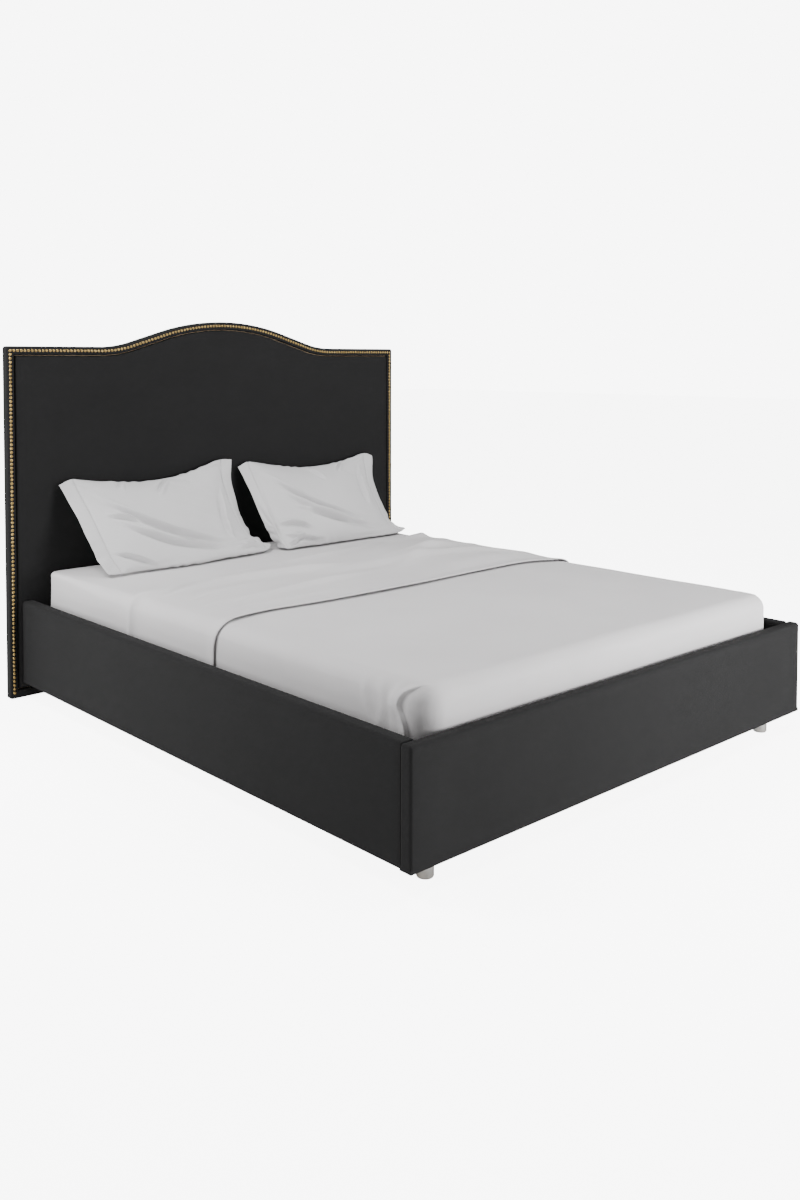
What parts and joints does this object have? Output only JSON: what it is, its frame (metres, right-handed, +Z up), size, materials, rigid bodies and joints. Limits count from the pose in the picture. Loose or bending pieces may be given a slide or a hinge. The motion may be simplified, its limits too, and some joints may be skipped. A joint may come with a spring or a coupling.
{
  "type": "upholstered storage bed",
  "caption": "Upholstered box bed with a camelback nail-trimmed headboard, a lift-up slatted base over a storage box, a mattress, sheets and leaning pillows.",
  "frame": {"origin": "on the floor, in the middle of the footprint from the headboard's back to the footboard's face", "axes": "+Z up, head end towards +Y, foot end towards -Y, width along X"},
  "size_m": [1.884, 2.094, 1.3949],
  "materials": {
    "upholstery": "smooth matt woven upholstery, near black",
    "dust_cloth": "thin black non-woven",
    "timber": "pale plywood and softwood",
    "floor_board": "light grey laminated board",
    "nail_brass": "antique brass, domed and slightly worn",
    "black_plastic": "moulded",
    "rubber": "matt",
    "black_steel": "black powder coat",
    "bright_steel": "satin",
    "webbing": "black webbing",
    "mattress_fabric": "white knitted ticking",
    "sheet_fabric": "light grey smooth cotton",
    "pillow_fabric": "light grey smooth cotton"
  },
  "bodies": {
    "frame": {"headboard_panel": "timber", "headboard_pad": "upholstery", "headboard_border": "upholstery", "headboard_back_cloth": "dust_cloth", "headboard_nails_left": "nail_brass", "headboard_nails_right": "nail_brass", "headboard_nails_top": "nail_brass", "headboard_glides": "black_plastic", "side_rail_left_board": "timber", "side_rail_left_cover": "upholstery", "side_rail_right_board": "timber", "side_rail_right_cover": "upholstery", "footboard_board": "timber", "footboard_cover": "upholstery", "head_brackets": "black_steel", "foot_brackets": "black_steel", "bracket_bolts": "bright_steel", "corner_blocks": "timber", "feet": "bright_steel", "foot_glides": "black_plastic", "center_beam": "timber", "center_legs": "black_plastic", "floor_bearers": "timber", "storage_floor_left": "floor_board", "storage_floor_right": "floor_board", "platform_rests": "black_steel", "rest_bumpers": "rubber", "lift_base_plates": "black_steel", "base_plate_bolts": "bright_steel", "arm_pivot_pins": "bright_steel", "guide_pivot_pins": "bright_steel", "spring_pivot_pins": "bright_steel"},
    "lift_arms": {"lift_arms": "black_steel", "spring_arm_pins": "bright_steel"},
    "guide_arms": {"guide_arms": "black_steel"},
    "gas_spring_cylinders": {"gas_spring_cylinders": "black_steel"},
    "gas_spring_rods": {"gas_spring_rods": "bright_steel"},
    "platform": {"slat_frame": "black_steel", "slats_left": "timber", "slats_right": "timber", "slat_side_holders": "black_plastic", "slat_center_holders": "black_plastic", "anti_slip_pads": "rubber", "platform_plates": "black_steel", "plate_bolts": "bright_steel", "platform_pivot_pins": "bright_steel", "guide_end_pins": "bright_steel", "lift_strap": "webbing", "mattress": "mattress_fabric", "fitted_sheet": "sheet_fabric", "top_sheet": "sheet_fabric"},
    "left_pillow": {"pillow_left": "pillow_fabric"},
    "right_pillow": {"pillow_right": "pillow_fabric"}
  },
  "joints": [
    {"name": "bed_lift", "type": "hinge", "parent": "frame", "child": "lift_arms", "pos_m": [0, 0.259, 0.144], "axis": [1, 0, 0], "range_deg": [0, 68]},
    {"name": "platform_tilt", "type": "hinge", "parent": "lift_arms", "child": "platform", "pos_m": [0, 0.591, 0.215], "axis": [-1, 0, 0], "range_deg": [0, 102.1]},
    {"name": "guide_arm_swing", "type": "hinge", "parent": "frame", "child": "guide_arms", "pos_m": [0, 0.071, 0.107], "axis": [1, 0, 0], "range_deg": [0, 59.4]},
    {"name": "gas_spring_swing", "type": "hinge", "parent": "frame", "child": "gas_spring_cylinders", "pos_m": [0, 0.079, 0.144], "axis": [1, 0, 0], "range_deg": [0, 34.1]},
    {"name": "gas_spring_stroke", "type": "slide", "parent": "gas_spring_cylinders", "child": "gas_spring_rods", "axis": [0, 0.9945, 0.1051], "range_m": [-0.0825, 0]},
    {"name": "left_pillow_tip", "type": "hinge", "parent": "platform", "child": "left_pillow", "pos_m": [-0.37, 0.711, 0.466], "axis": [1, 0, 0], "range_deg": [0, 47.7]},
    {"name": "right_pillow_tip", "type": "hinge", "parent": "platform", "child": "right_pillow", "pos_m": [0.42, 0.711, 0.466], "axis": [1, 0, 0], "range_deg": [0, 47.7]}
  ],
  "couplings": [
    {"joint": "platform_tilt", "follows": "bed_lift", "ratio": 1.5},
    {"joint": "guide_arm_swing", "follows": "bed_lift", "ratio": 0.873},
    {"joint": "gas_spring_swing", "follows": "bed_lift", "ratio": 0.5},
    {"joint": "gas_spring_stroke", "follows": "bed_lift", "m_per_rad": -0.069405},
    {"joint": "left_pillow_tip", "follows": "bed_lift", "ratio": 0.7},
    {"joint": "right_pillow_tip", "follows": "bed_lift", "ratio": 0.7}
  ]
}
